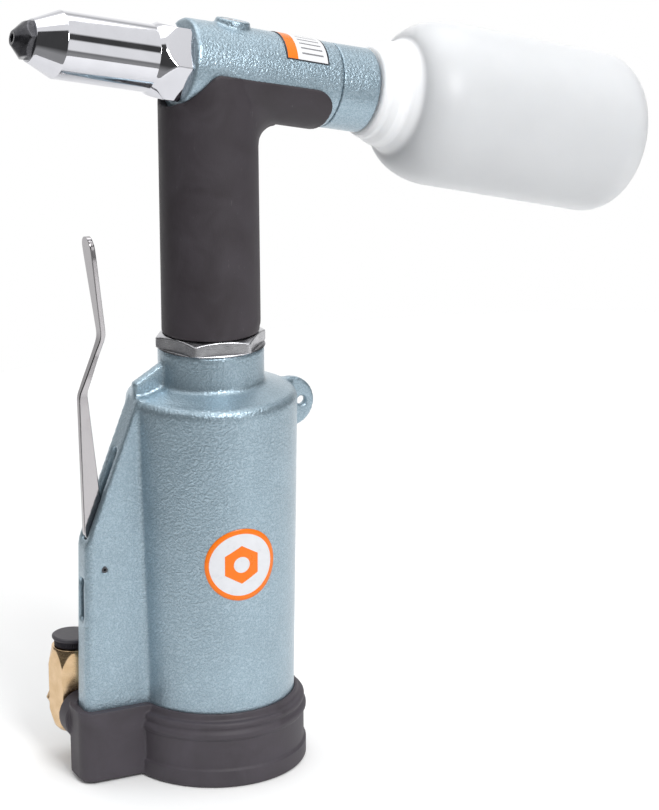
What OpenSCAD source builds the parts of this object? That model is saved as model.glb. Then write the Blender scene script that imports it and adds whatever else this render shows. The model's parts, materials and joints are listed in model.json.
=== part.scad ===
/* [Air cylinder] */
// Outer radius of the air cylinder just above the boot
cyl_r_low = 33.5; // [33.3:0.1:33.8]
// Outer radius of the air cylinder at the shoulder
cyl_r_top = 35.4; // [35:0.1:35.6]
// Radius of the air cylinder bore
bore_r = 30.5; // [29.5:0.1:30.8]
// Height of the shoulder rim above the base
rim_z = 162.6; // [160:0.1:163]
// Height of the top of the collar
collar_z = 181; // [180.5:0.1:181.5]
// Outer radius of the collar
collar_r = 21.9; // [21:0.1:23]

/* [Head] */
// Height at which the head axis crosses the handle axis
head_z = 295.1; // [294.6:0.1:295.5]
// Angle by which the nose points above the horizontal
tilt = 12.1; // [11.8:0.1:12.6]
// Outer radius of the head casting
head_r = 18.2; // [18:0.1:18.5]
// Radius of the hydraulic bore in the head
head_bore_r = 14.5; // [14:0.1:14.6]
// Distance that the jaws are pulled back
pull_stroke = 16; // [14:0.5:17]

/* [Nose] */
// Outer radius of the chrome nose sleeve
sleeve_r = 13.5; // [13.2:0.1:13.6]
// Width across the flats at the back of the sleeve
sleeve_af = 29; // [28.6:0.1:29.4]
// Width across the flats of the nosepiece
nose_af = 14; // [13:0.1:14.4]
// Radius of the hole that takes the rivet's mandrel
rivet_hole_r = 1.65; // [1.2:0.05:2]

/* [Grip] */
// Outer radius of the rubber grip
grip_r = 20.1; // [20:0.1:20.8]
// Radius of the handle tube inside the grip
tube_r = 16.5; // [16:0.1:16.8]
// Width across the flats of the lock nut
lock_nut_af = 40.2; // [39:0.1:41]

/* [Collector bottle] */
// Outer radius of the bottle
bottle_r = 34.1; // [33:0.1:34.4]
// Distance from the handle axis to the end of the bottle
bottle_end = 196.7; // [190:0.1:202]
// Wall of the bottle
bottle_wall = 1.4; // [1:0.1:1.8]
// Angle by which the bottle hangs below the head axis on its soft seal
bottle_droop = 1.6; // [0:0.1:1.8]

/* [Boot] */
// Outer radius of the rubber boot
boot_r = 38.6; // [38.2:0.1:39]
// Height of the boot
boot_h = 31.5; // [31:0.1:32]

/* [Trigger] */
// Angle that the trigger lever turns through
trigger_travel = 10; // [8:0.5:10]
// Thickness of the lever plate
lever_t = 3; // [2.6:0.1:3.2]

/* [Inlet] */
// Width across the flats of the inlet swivel
swivel_af = 18; // [17.6:0.1:18]
// Angle of the swivel's corners from the front
swivel_turn = 17.5; // [15:0.5:20]

/* [Hidden] */
$fn = 64;

paint = [0.66, 0.74, 0.77];
rubber = [0.2, 0.19, 0.2];
chrome = [0.8, 0.81, 0.83];
steel = [0.6, 0.61, 0.63];
seal_black = [0.12, 0.12, 0.12];

// Clearances: a running fit, a seated fit and the cut that clears a face
run_gap = 0.05;
seat_gap = 0.02;
cut = 1;
// How far a turned chamfer runs past a hexagon's corners
past = 0.3;

// Air cylinder casting
cyl_bottom = 4;
draft_top_z = rim_z - 4;
collar_foot_z = rim_z + 2.8;
crown_z = 157;
rim_round = 4;
end_cap_z = [9, 14];
circlip_z = [7.4, 9];
circlip_groove_r = bore_r + 1.2;

// Valve housing: its front face leans back as it rises
housing_front = -61.4;
housing_lean = 1.45;
housing_half = 6;
housing_corner = 3;
housing_slant = [[-58.8, 102.6], [-34.8, 163]];
slot_half = 2.2;
slant_angle = atan2(housing_slant[1][0] - housing_slant[0][0],
                    housing_slant[1][1] - housing_slant[0][1]);
pivot = [-50.9, 92.4];
pin_r = 1.4;
valve_x = -44;
valve_bore_r = 4;
stem_top = 56.8;
land_z = [15.5, 28, 48];
port_z = 17.6;
inlet_z = 23.8;
inlet_x = -55.5;
inlet_boss_r = 6.4;
inlet_reach = 7.2;

// Head stations along the head axis, from the handle axis
face_s = -13;
spigot_s = -24;
spigot_r = 11.5;
bore_s = -4;
seam_s = 53;
cap_end_s = 70;
taper_s = 15;
tail_r = head_r - 0.9;
arm_r = head_r + 0.5;
bottle_seal_s = 75;
rod_r = 6;
boss_s = 7.4;
boss_r = 7.1;
boss_top = 20.3;
oil_plug_r = 3.5;
tube_bottom = 160;
gland_r = 12;
gland_top = 184;
chamber_r = 9.5;
chamber_z = [184, 275];
oil_way_r = 3;

// Nose stations
cone_s = -65.5;
sleeve_front_s = -76.6;
sleeve_front_r = 8.5;
hex_s = -25.5;
shank_r = 4.5;
nose_tip_s = -83.5;
case_r = 8.9;
jaw_angle = 12;
jaw_front = -60.3;
jaw_len = 9;
jaw_bore_r = 1.95;
case_front = -64;
case_back = -44;

// Pistons
piston_s = [7, 16];
piston_r = head_bore_r - run_gap;
tube_out_r = 4;
ram_r = 6;
ram_top = 195;
air_piston_z = [21, 32];
air_piston_r = bore_r - run_gap;

// Trigger lever
lever_front_z = 106.5;
pad_half = 4.8;
pad_top = 231.5;

// Inlet swivel, along its bolt from the housing wall
swivel_y = [inlet_reach + 0.2, inlet_reach + 0.2 + swivel_af];
swivel_z = [14, 51];
cap_step = 2;
bolt_r = 4;
port_r = 5.7;

// Puts children on the head axis: local z runs from the nose to the bottle,
// and local -x points up
module on_head() {
    translate([0, 0, head_z])
        rotate([0, 90 + tilt, 0])
            children();
}

// Puts children at the inlet: local y runs out along the swivel bolt
module at_inlet() {
    translate([inlet_x, housing_half, inlet_z])
        children();
}

// Solid of revolution from a list of [radius, height] points
module turned(points) {
    rotate_extrude()
        polygon(points);
}

// Ring with a round section
module o_ring(mean_r, wire_r) {
    rotate_extrude()
        translate([mean_r, 0])
            circle(wire_r, $fn = 24);
}

// Ring with a square section, from z0 to z1
module washer(r_in, r_out, z0, z1) {
    rotate_extrude()
        translate([r_in, z0])
            square([r_out - r_in, z1 - z0]);
}

// Hexagonal bar across flats af, with its corners turned down at both ends
module hex_bar(af, z0, z1, chamfer) {
    corner = af / 2 / cos(30);
    intersection() {
        translate([0, 0, z0])
            cylinder(r = corner, h = z1 - z0, $fn = 6);
        turned([
            [0, z0], [corner - chamfer, z0], [corner + past, z0 + (chamfer + past) / 2],
            [corner + past, z1 - (chamfer + past) / 2], [corner - chamfer, z1], [0, z1]
        ]);
    }
}

// Helical spring with its axis on z
module coil(mean_r, wire_r, z0, z1, turns) {
    per_turn = 18;
    sides = 8;
    steps = turns * per_turn;
    pitch = (z1 - z0 - 2 * wire_r) / steps;
    points = [
        for (i = [0:steps], j = [0:sides - 1])
            let (turn = 360 * i / per_turn, around = 360 * j / sides)
                let (r = mean_r + wire_r * cos(around))
                    [r * cos(turn), r * sin(turn),
                     z0 + wire_r + i * pitch + wire_r * sin(around)]
    ];
    wall = [
        for (i = [0:steps - 1], j = [0:sides - 1])
            let (a = i * sides + j, b = i * sides + (j + 1) % sides)
                [a, b, b + sides, a + sides]
    ];
    first = [for (j = [sides - 1:-1:0]) j];
    last = [for (j = [0:sides - 1]) steps * sides + j];
    polyhedron(points, concat([first], wall, [last]));
}

// Plan outline of the valve housing, grown by extra on every side
module housing_plan(extra) {
    front = housing_front - extra;
    half = housing_half + extra;
    corner = housing_corner + extra;
    translate([front + corner, -half])
        square([-front - corner - 31, 2 * half]);
    translate([front, -half + corner])
        square([corner, 2 * (half - corner)]);
    for (side = [-1, 1])
        translate([front + corner, side * (half - corner)])
            circle(corner);
}

// Plan outline of the fillets where the housing meets the cylinder
module housing_fillets() {
    fillet = 4;
    bite = 0.1;
    centre_y = housing_half + fillet - bite;
    centre_x = -sqrt(pow(cyl_r_low + fillet - bite, 2) - pow(centre_y, 2));
    for (side = [-1, 1])
        scale([1, side])
            difference() {
                translate([centre_x, housing_half - 1])
                    square([-31.5 - centre_x, fillet + 1]);
                translate([centre_x, centre_y])
                    circle(fillet);
            }
}

// Space in which the trigger lever swings, seen from the side
module lever_space() {
    translate([0, slot_half, 0])
        rotate([90, 0, 0])
            linear_extrude(2 * slot_half) {
                polygon([
                    [-64, 140.4], [-43.2, 140.4], [-42.4, 138], [-42.4, 100],
                    [-39.6, 97], [-39.6, 83.5], [-55.3, 83.5], [-55.3, 103.2],
                    [-58.6, 107], [-64, 107]
                ]);
                translate([-64, 70.3])
                    square([14, 18]);
            }
    translate([-43.9, 0, 140.4])
        rotate([0, 90 + slant_angle, 0])
            translate([0, 0, -8])
                cylinder(r = slot_half, h = 11);
}

// Leaning prism of the valve housing, grown by extra on every side
module housing_prism(extra) {
    rotate([0, housing_lean, 0])
        translate([0, 0, -10])
            linear_extrude(rim_z + 20)
                housing_plan(extra);
}

module valve_housing() {
    intersection() {
        union() {
            housing_prism(0);
            translate([0, 0, cyl_bottom])
                linear_extrude(rim_z - rim_round - cyl_bottom)
                    housing_fillets();
        }
        translate([0, 20, 0])
            rotate([90, 0, 0])
                linear_extrude(40)
                    polygon([
                        [-70, cyl_bottom], [-70, housing_slant[0][1]], housing_slant[0],
                        housing_slant[1], [-20, housing_slant[1][1]], [-20, cyl_bottom]
                    ]);
    }
}

module shoulder_rib() {
    rib_half = 2.2;
    translate([0, rib_half, 0])
        rotate([90, 0, 0])
            linear_extrude(2 * rib_half)
                polygon([
                    [-34.9, rim_z - 6], [-34.9, 168.6], [-22.4, 175.8],
                    [-20, 175.8], [-20, rim_z - 6]
                ]);
}

module hanging_lug() {
    lug_half = 2;
    translate([0, lug_half, 0])
        rotate([90, 0, 0])
            linear_extrude(2 * lug_half)
                translate([35.2, 152])
                    circle(10.8);
}

module air_cylinder() {
    color(paint)
        difference() {
            union() {
                turned([
                    [0, cyl_bottom], [cyl_r_low - 0.5, cyl_bottom],
                    [cyl_r_low, cyl_bottom + 0.5], [cyl_r_low, boot_h],
                    [cyl_r_top, draft_top_z],
                    for (a = [15:15:75])
                        [cyl_r_top - rim_round * (1 - cos(a)), draft_top_z + rim_round * sin(a)],
                    [cyl_r_top - rim_round, rim_z],
                    [collar_r + 2, collar_foot_z - 0.2],
                    [collar_r + 0.6, collar_foot_z + 0.3],
                    [collar_r, collar_foot_z + 1.8],
                    [collar_r, collar_z - 0.6], [collar_r - 0.6, collar_z], [0, collar_z]
                ]);
                valve_housing();
                shoulder_rib();
                hanging_lug();
                at_inlet()
                    rotate([-90, 0, 0])
                        translate([0, 0, -4])
                            cylinder(r = inlet_boss_r, h = inlet_reach + 4);
            }
            // air bore, thread for the handle tube and circlip groove
            translate([0, 0, cyl_bottom - cut])
                cylinder(r = bore_r, h = crown_z - cyl_bottom + cut);
            translate([0, 0, crown_z - cut])
                cylinder(r = tube_r, h = collar_z - crown_z + 2 * cut);
            translate([0, 0, circlip_z[0]])
                cylinder(r = circlip_groove_r, h = circlip_z[1] - circlip_z[0]);
            // trigger slot, pin hole, pushrod hole and valve bore
            lever_space();
            translate([pivot[0], housing_half + cut, pivot[1]])
                rotate([90, 0, 0])
                    cylinder(r = pin_r, h = 2 * (housing_half + cut));
            translate([valve_x, 0, 60])
                cylinder(r = pin_r + 0.2, h = 30);
            translate([valve_x, 0, cyl_bottom - cut])
                cylinder(r = valve_bore_r, h = 66 - cyl_bottom + cut);
            // air port to the cylinder, inlet thread and its crosswise port
            translate([valve_x, 0, port_z])
                rotate([0, 90, 0])
                    cylinder(r = 2, h = -valve_x - 28);
            at_inlet()
                rotate([-90, 0, 0])
                    translate([0, 0, -3.6])
                        cylinder(r = bolt_r + 0.5, h = inlet_reach + 5);
            translate([inlet_x + 1, 3.4, inlet_z])
                rotate([0, 90, 0])
                    cylinder(r = 1.4, h = valve_x - inlet_x);
            // hole in the hanging lug
            translate([40.3, 5, 152])
                rotate([90, 0, 0])
                    cylinder(r = 2, h = 10);
        }
}

// Plan of the boot's bulge over the valve, drawn in by inset
module bulge_plan(inset) {
    half = 10 - inset;
    front = -64 + inset;
    corner = 6 - inset;
    translate([front + corner, -half])
        square([28, 2 * half]);
    translate([front, corner - half])
        square([corner, 2 * (half - corner)]);
    for (side = [-1, 1])
        translate([front + corner, side * (half - corner)])
            circle(corner);
}

module base_boot() {
    floor_t = cyl_bottom;
    bulge_z = [0.6, 1, 1.7];
    bulge_inset = [1.3, 0.5, 0];
    color(rubber)
        difference() {
            union() {
                turned([
                    [0, 0], [boot_r - 1, 0], [boot_r, 1], [boot_r, 7.7], [boot_r - 1, 8],
                    [boot_r - 1, 21], [boot_r - 0.4, 21.4], [boot_r, 22.2], [boot_r, 23.4],
                    [boot_r - 0.4, 24.2], [boot_r - 1.2, 24.8], [boot_r - 1.3, 25.8],
                    [boot_r - 0.8, 26.4], [boot_r - 0.8, 27.6], [boot_r - 1.6, 28.4],
                    [boot_r - 3.2, 28.8], [cyl_r_low + 1.3, boot_h], [0, boot_h]
                ]);
                for (i = [0:2])
                    translate([0, 0, bulge_z[i]])
                        linear_extrude(boot_h - bulge_z[i])
                            bulge_plan(bulge_inset[i]);
                at_inlet()
                    rotate([-90, 0, 0])
                        translate([0, 0, -1])
                            cylinder(r = 10.4, h = inlet_reach + 1);
            }
            translate([0, 0, floor_t])
                cylinder(r = cyl_r_low + seat_gap, h = boot_h);
            intersection() {
                housing_prism(seat_gap);
                translate([-80, -20, floor_t])
                    cube([60, 40, boot_h]);
            }
            translate([0, 0, floor_t])
                linear_extrude(boot_h)
                    housing_fillets();
            at_inlet()
                rotate([-90, 0, 0])
                    translate([0, 0, -5])
                        cylinder(r = inlet_boss_r + seat_gap, h = inlet_reach + 6);
        }
}

module lock_nut() {
    nut_z = [collar_z, collar_z + 5.6];
    corner = lock_nut_af / 2 / cos(30);
    color(chrome)
        difference() {
            intersection() {
                rotate([0, 0, -10])
                    translate([0, 0, nut_z[0]])
                        cylinder(r = corner, h = nut_z[1] - nut_z[0], $fn = 6);
                turned([
                    [0, nut_z[0]], [corner - 0.8, nut_z[0]], [corner + past, nut_z[0] + 0.4],
                    [corner + past, nut_z[1] - 1.5], [corner - 3.4, nut_z[1]], [0, nut_z[1]]
                ]);
            }
            translate([0, 0, nut_z[0] - cut])
                cylinder(r = tube_r + seat_gap, h = 10);
        }
}

module head_housing() {
    color(paint)
        difference() {
            union() {
                on_head() {
                    turned([
                        [0, spigot_s], [spigot_r - 0.5, spigot_s], [spigot_r, spigot_s + 0.5],
                        [spigot_r, face_s], [head_r - 1.2, face_s], [head_r - 0.4, face_s + 0.4],
                        [head_r, face_s + 1.2], [head_r, taper_s], [tail_r, seam_s - 0.3],
                        [tail_r - 0.3, seam_s], [0, seam_s]
                    ]);
                    translate([0, 0, boss_s])
                        rotate([0, -90, 0])
                            turned([
                                [0, 0], [boss_r, 0], [boss_r, boss_top - 0.5],
                                [boss_r - 0.5, boss_top], [0, boss_top]
                            ]);
                }
                translate([0, 0, tube_bottom])
                    cylinder(r = tube_r - seat_gap, h = head_z - tube_bottom - 12);
            }
            on_head() {
                // hydraulic bore, rod passage and rod seal groove
                translate([0, 0, bore_s])
                    cylinder(r = head_bore_r, h = seam_s - bore_s + cut);
                translate([0, 0, -12])
                    cylinder(r = rod_r + run_gap, h = 10);
                translate([0, 0, spigot_s - cut])
                    cylinder(r = case_r + 0.5, h = -11.5 - spigot_s + cut);
                translate([0, 0, -10])
                    cylinder(r = rod_r + 2.4, h = 3);
                // thread and seat of the oil plug
                translate([0, 0, boss_s])
                    rotate([0, -90, 0])
                        cylinder(r = oil_plug_r, h = boss_top + cut);
                translate([0, 0, boss_s])
                    rotate([0, -90, 0])
                        translate([0, 0, boss_top - 1.4])
                            cylinder(r = oil_plug_r + 1.6, h = 3);
            }
            // oil chamber of the handle, its way up to the head and the gland thread
            translate([0, 0, chamber_z[0] - cut])
                cylinder(r = chamber_r, h = chamber_z[1] - chamber_z[0] + cut);
            translate([0, 0, chamber_z[1] - cut])
                cylinder(r = oil_way_r, h = head_z - chamber_z[1]);
            translate([0, 0, tube_bottom - cut])
                cylinder(r = gland_r, h = gland_top - tube_bottom + cut);
        }
}

// Side outline of the grip in head coordinates: [distance along, height above the axis]
module grip_side() {
    arm_end = 50.5;
    arm_round = 9.5;
    polygon([
        [-60, -150], [-60, -15], [-12.9, -15], [-4.6, -2], [-2.6, -0.7],
        [arm_end - arm_round, -0.7], [arm_end - arm_round, -40], [40, -150]
    ]);
    for (drop = [0, 3.5])
        translate([arm_end - arm_round, -0.7 - arm_round - drop])
            circle(arm_round);
    translate([arm_end - arm_round, -0.7 - arm_round - 3.5])
        square([arm_round, 3.5]);
}

module grip_sleeve() {
    grip_bottom = collar_z + 5.8;
    web_half = 5;
    web_fillet = 7;
    web_z = 263;
    color(rubber)
        difference() {
            union() {
                intersection() {
                    union() {
                        translate([0, 0, grip_bottom])
                            cylinder(r = grip_r, h = head_z - grip_bottom + 4);
                        on_head()
                            translate([0, 0, -14])
                                cylinder(r = arm_r, h = 70);
                    }
                    on_head()
                        translate([0, 30, 0])
                            rotate([90, 0, 0])
                                linear_extrude(60)
                                    rotate(90)
                                        grip_side();
                }
                // web that rounds the corner between the handle and the arm
                translate([0, web_half, 0])
                    rotate([90, 0, 0])
                        linear_extrude(2 * web_half)
                            difference() {
                                polygon([
                                    [grip_r - 6, web_z - 1], [grip_r, web_z - 1],
                                    [grip_r + web_fillet, web_z + web_fillet],
                                    [grip_r + web_fillet, web_z + 12], [grip_r - 6, web_z + 16]
                                ]);
                                translate([grip_r + web_fillet, web_z])
                                    circle(web_fillet);
                            }
            }
            translate([0, 0, grip_bottom - cut])
                cylinder(r = tube_r, h = 120);
            on_head()
                turned([
                    [0, -30], [head_r + seat_gap, -30], [head_r + seat_gap, taper_s],
                    [tail_r + seat_gap, seam_s], [tail_r + seat_gap, cap_end_s], [0, cap_end_s]
                ]);
        }
}

module nose_sleeve() {
    corner = sleeve_af / 2 / cos(30);
    color(chrome)
        on_head()
            difference() {
                union() {
                    turned([
                        [0, sleeve_front_s], [sleeve_front_r - 0.4, sleeve_front_s],
                        [sleeve_front_r, sleeve_front_s + 0.4], [sleeve_r, cone_s],
                        [sleeve_r, face_s], [0, face_s]
                    ]);
                    intersection() {
                        translate([0, 0, hex_s])
                            rotate([0, 0, 30])
                                cylinder(r = corner, h = face_s - hex_s, $fn = 6);
                        turned([
                            [0, hex_s - 1], [sleeve_r - 0.3, hex_s - 1],
                            [corner + past, hex_s + 6.5], [corner + past, face_s - 0.9],
                            [corner - 0.6, face_s], [0, face_s]
                        ]);
                    }
                }
                turned([
                    [0, -78], [shank_r, -78], [shank_r, -71], [case_r + 0.5, -66],
                    [case_r + 0.5, spigot_s - 0.2], [spigot_r + seat_gap, spigot_s - 0.2],
                    [spigot_r + seat_gap, face_s + cut], [0, face_s + cut]
                ]);
            }
}

module nosepiece() {
    corner = nose_af / 2 / cos(30);
    tip_r = 3;
    tail_s = -61;
    color(seal_black)
        on_head()
            difference() {
                union() {
                    intersection() {
                        translate([0, 0, nose_tip_s])
                            rotate([0, 0, 12])
                                cylinder(r = corner, h = sleeve_front_s - nose_tip_s, $fn = 6);
                        turned([
                            [0, nose_tip_s], [tip_r - 0.3, nose_tip_s], [tip_r, nose_tip_s + 0.3],
                            [corner + past, nose_tip_s + corner + past - tip_r + 0.6],
                            [corner + past, sleeve_front_s], [0, sleeve_front_s]
                        ]);
                    }
                    turned([
                        [0, sleeve_front_s - 1], [shank_r - seat_gap, sleeve_front_s - 1],
                        [shank_r - seat_gap, -68.5], [3.2, -67], [3.2, tail_s - 1],
                        [2.2, tail_s], [0, tail_s]
                    ]);
                }
                translate([0, 0, nose_tip_s - cut])
                    cylinder(r = rivet_hole_r, h = 30);
            }
}

module jaw_case() {
    cone_front_r = 4.6;
    cone_back_r = 7;
    cone_len = (cone_back_r - cone_front_r) / tan(jaw_angle);
    color(steel)
        on_head()
            difference() {
                turned([
                    [0, case_front], [case_r - 1, case_front], [case_r, case_front + 1],
                    [case_r, case_back], [0, case_back]
                ]);
                turned([
                    [0, case_front - 1], [3.7, case_front - 1], [3.7, case_front + 1],
                    [cone_front_r, case_front + 1],
                    [cone_back_r, case_front + 1 + cone_len],
                    [cone_back_r, case_back + 1], [0, case_back + 1]
                ]);
            }
}

// One of three jaws: a third of a cone, less the gaps between the jaws
module jaw(index) {
    spread = 96;
    front_r = 4.6 + (jaw_front - case_front - 1) * tan(jaw_angle) - 0.5;
    back_r = front_r + jaw_len * tan(jaw_angle);
    color(steel)
        on_head()
            rotate([0, 0, 120 * index - spread / 2])
                rotate_extrude(angle = spread)
                    polygon([
                        [jaw_bore_r, jaw_front], [front_r, jaw_front],
                        [back_r, jaw_front + jaw_len], [jaw_bore_r, jaw_front + jaw_len]
                    ]);
}

module jaw_1() {
    jaw(0);
}

module jaw_2() {
    jaw(1);
}

module jaw_3() {
    jaw(2);
}

module jaw_pusher() {
    push_s = jaw_front + jaw_len + 0.3;
    color(steel)
        on_head()
            turned([
                [1.9, push_s], [5.2, push_s], [5.2, push_s + 2.2], [3.2, push_s + 2.2],
                [3.2, push_s + 4.2], [1.9, push_s + 4.2]
            ]);
}

module jaw_spring() {
    color(steel)
        on_head()
            coil(4.4, 0.55, -48.8, -40.2, 4);
}

module jaw_coupler() {
    color(steel)
        on_head()
            difference() {
                turned([
                    [0, case_back - 3.6], [6.9, case_back - 3.6], [6.9, case_back],
                    [case_r, case_back], [case_r, -32.6], [case_r - 0.6, -32], [0, -32]
                ]);
                translate([0, 0, -48])
                    cylinder(r = 5.4, h = 8);
                translate([0, 0, -40 - cut])
                    cylinder(r = 2.4, h = 4);
                translate([0, 0, -39])
                    cylinder(r = rod_r - 1 + seat_gap, h = 8);
            }
}

module pull_piston() {
    groove = 2.2;
    color(steel)
        on_head()
            difference() {
                turned([
                    [0, -39], [rod_r - 1, -39], [rod_r - 1, -32], [rod_r, -31.6],
                    [rod_r, piston_s[0]], [piston_r, piston_s[0]],
                    [piston_r, 10], [piston_r - groove, 10], [piston_r - groove, 13],
                    [piston_r, 13], [piston_r, piston_s[1]], [6.4, piston_s[1]],
                    [6.4, 22], [0, 22]
                ]);
                translate([0, 0, -40])
                    cylinder(r = 2.4, h = 60);
                translate([0, 0, 14])
                    cylinder(r = tube_out_r + seat_gap, h = 10);
            }
}

module pull_piston_seal() {
    color(seal_black)
        on_head()
            washer(piston_r - 2.2, piston_r + 0.02, 10, 13);
}

module rod_seal() {
    color(seal_black)
        on_head()
            washer(rod_r + 0.03, rod_r + 2.4, -10, -7);
}

module return_spring() {
    color(steel)
        on_head()
            coil(10, 1.1, piston_s[1] + 0.2, 44.8, 5);
}

module rear_cap() {
    spigot_out_r = 13.4;
    color(paint)
        on_head()
            difference() {
                turned([
                    [0, 45], [head_bore_r - seat_gap, 45], [head_bore_r - seat_gap, seam_s],
                    [tail_r - 0.3, seam_s], [tail_r, seam_s + 0.3],
                    [tail_r, cap_end_s - 1.5], [tail_r - 0.5, cap_end_s - 0.4],
                    [tail_r - 1.5, cap_end_s], [spigot_out_r, cap_end_s],
                    [spigot_out_r, 74], [spigot_out_r - 1, 74], [spigot_out_r - 1, 76],
                    [spigot_out_r, 76], [spigot_out_r, 79], [spigot_out_r - 1, 80], [0, 80]
                ]);
                translate([0, 0, 44])
                    cylinder(r = tube_out_r + run_gap, h = 40);
            }
}

module mandrel_tube() {
    color(steel)
        on_head()
            washer(3, tube_out_r, 14, 84);
}

module bottle_oring() {
    color(seal_black)
        on_head()
            translate([0, 0, bottle_seal_s])
                o_ring(13.3, 0.85);
}

// Outer outline of the bottle: soft rings on the neck, round shoulder and round end
module bottle_outline(inset) {
    body_r = bottle_r - inset;
    neck_r = 18.2 - inset;
    neck_s = cap_end_s + 0.9;
    shoulder_s = 107;
    end_round = 15 - inset;
    end_s = bottle_end - inset;
    polygon([
        [0, neck_s], [neck_r - 0.4, neck_s], [neck_r, neck_s + 0.5],
        [neck_r + 0.9, neck_s + 1.4], [neck_r + 1.2, neck_s + 3.6], [neck_r + 2.2, neck_s + 5.8],
        [neck_r + 3, neck_s + 7.8], [neck_r + 3.4, neck_s + 10.6], [neck_r + 4.2, neck_s + 12.4],
        for (a = [10:10:90])
            [body_r - 12 + 12 * sin(a), shoulder_s - 21 * cos(a)],
        for (a = [0:10:90])
            [body_r - end_round + end_round * cos(a), end_s - end_round + end_round * sin(a)],
        [0, end_s]
    ]);
}

module collector_bottle() {
    mouth_r = 14.3;
    color([0.95, 0.96, 0.97, 0.8])
        on_head()
            translate([0, 0, bottle_seal_s])
                rotate([0, bottle_droop, 0])
                    translate([0, 0, -bottle_seal_s])
                        rotate_extrude()
                            difference() {
                                bottle_outline(0);
                                difference() {
                                    bottle_outline(bottle_wall);
                                    square([40, cap_end_s + 14]);
                                }
                                translate([0, cap_end_s - 1])
                                    square([mouth_r, 16]);
                            }
}

module oil_plug() {
    color(steel)
        on_head()
            translate([0, 0, boss_s])
                rotate([0, -90, 0])
                    difference() {
                        union() {
                            translate([0, 0, 15])
                                cylinder(r = oil_plug_r - seat_gap, h = boss_top - 15.4);
                            translate([0, 0, boss_top - 0.9])
                                cylinder(r = oil_plug_r + 1.3, h = 0.7);
                        }
                        translate([0, 0, boss_top - 3])
                            cylinder(r = 2, h = 4, $fn = 6);
                    }
}

module oil_plug_washer() {
    color([0.72, 0.45, 0.2])
        on_head()
            translate([0, 0, boss_s])
                rotate([0, -90, 0])
                    washer(oil_plug_r, oil_plug_r + 1.4, boss_top - 1.4, boss_top - 0.9);
}

module ram_gland() {
    color([0.75, 0.6, 0.35])
        turned([
            [ram_r + run_gap, tube_bottom], [gland_r - seat_gap, tube_bottom],
            [gland_r - seat_gap, gland_top], [ram_r + 2.6, gland_top],
            [ram_r + 2.6, gland_top - 4], [ram_r + run_gap, gland_top - 4]
        ]);
}

module ram_seal() {
    color(seal_black)
        washer(ram_r + 0.03, ram_r + 2.6, gland_top - 4, gland_top);
}

module ram_rod() {
    stud_r = 4;
    color(chrome)
        turned([
            [0, 15], [stud_r - 0.5, 15], [stud_r, 15.5], [stud_r, air_piston_z[1]],
            [ram_r, air_piston_z[1]], [ram_r, ram_top - 1], [ram_r - 1, ram_top], [0, ram_top]
        ]);
}

module air_piston() {
    hub_r = 11;
    groove_z = [24.5, 28.5];
    color([0.75, 0.76, 0.78])
        difference() {
            turned([
                [0, air_piston_z[0]], [air_piston_r - 0.5, air_piston_z[0]],
                [air_piston_r, air_piston_z[0] + 0.5], [air_piston_r, groove_z[0]],
                [air_piston_r - 3, groove_z[0]], [air_piston_r - 3, groove_z[1]],
                [air_piston_r, groove_z[1]], [air_piston_r, air_piston_z[1]],
                [air_piston_r - 4, air_piston_z[1]], [air_piston_r - 4, air_piston_z[1] - 2],
                [hub_r, air_piston_z[1] - 2], [hub_r, air_piston_z[1]], [0, air_piston_z[1]]
            ]);
            translate([0, 0, air_piston_z[0] - cut])
                cylinder(r = 4 + seat_gap, h = 20);
        }
}

module air_piston_seal() {
    color(seal_black)
        washer(air_piston_r - 3, bore_r - 0.02, 24.5, 28.5);
}

module ram_nut() {
    color(steel)
        difference() {
            hex_bar(13, 16, air_piston_z[0], 0.8);
            translate([0, 0, 15])
                cylinder(r = 4 + seat_gap, h = 10);
        }
}

module cylinder_end_cap() {
    cap_r = bore_r - seat_gap;
    color([0.75, 0.76, 0.78])
        turned([
            [0, end_cap_z[0]], [cap_r, end_cap_z[0]], [cap_r, 10.5], [cap_r - 1.6, 10.5],
            [cap_r - 1.6, 12.5], [cap_r, 12.5], [cap_r, end_cap_z[1]], [0, end_cap_z[1]]
        ]);
}

module end_cap_oring() {
    color(seal_black)
        translate([0, 0, 11.5])
            o_ring(bore_r - 0.84, 0.76);
}

module circlip() {
    gap = 24;
    color(steel)
        rotate([0, 0, gap / 2])
            rotate_extrude(angle = 360 - gap)
                translate([bore_r - 2.6, circlip_z[0] + 0.05])
                    square([circlip_groove_r - bore_r + 2.5, circlip_z[1] - circlip_z[0] - 0.1]);
}

// Lever seen from the side: finger pad, two bends, plate, eye and heel
module lever_side() {
    polygon([
        [-53.9, pad_top], [-51.9, pad_top], [-46.9, 191.6], [-47, 189.6],
        [-55, 167.4], [-50.9, 126.9], [-48.4, 99], [-43.2, 96], [-40.8, 91.5],
        [-40.8, 88.4], [-52, 88.4], [-54.7, 91], [-54.7, 102.6],
        [-57.7, lever_front_z], [-58.6, 166], [-49.2, 189], [-49, 190.8]
    ]);
    translate(pivot)
        circle(3.8);
}

// Lever seen from the front: half its width grows from the plate to the pad
module lever_front() {
    half = lever_t / 2;
    polygon([
        [-half, 80], [half, 80], [half, 168], [1.8, 172], [1.9, 184], [2.6, 190.5],
        [pad_half, 224], [pad_half, pad_top - pad_half], [-pad_half, pad_top - pad_half],
        [-pad_half, 224], [-2.6, 190.5], [-1.9, 184], [-1.8, 172], [-half, 168]
    ]);
    translate([0, pad_top - pad_half])
        circle(pad_half);
}

module trigger_lever() {
    color(chrome)
        difference() {
            intersection() {
                translate([0, 6, 0])
                    rotate([90, 0, 0])
                        linear_extrude(12)
                            lever_side();
                translate([-70, 0, 0])
                    rotate([90, 0, 90])
                        linear_extrude(40)
                            lever_front();
            }
            translate([pivot[0], 6, pivot[1]])
                rotate([90, 0, 0])
                    cylinder(r = pin_r + run_gap, h = 12);
        }
}

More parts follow.
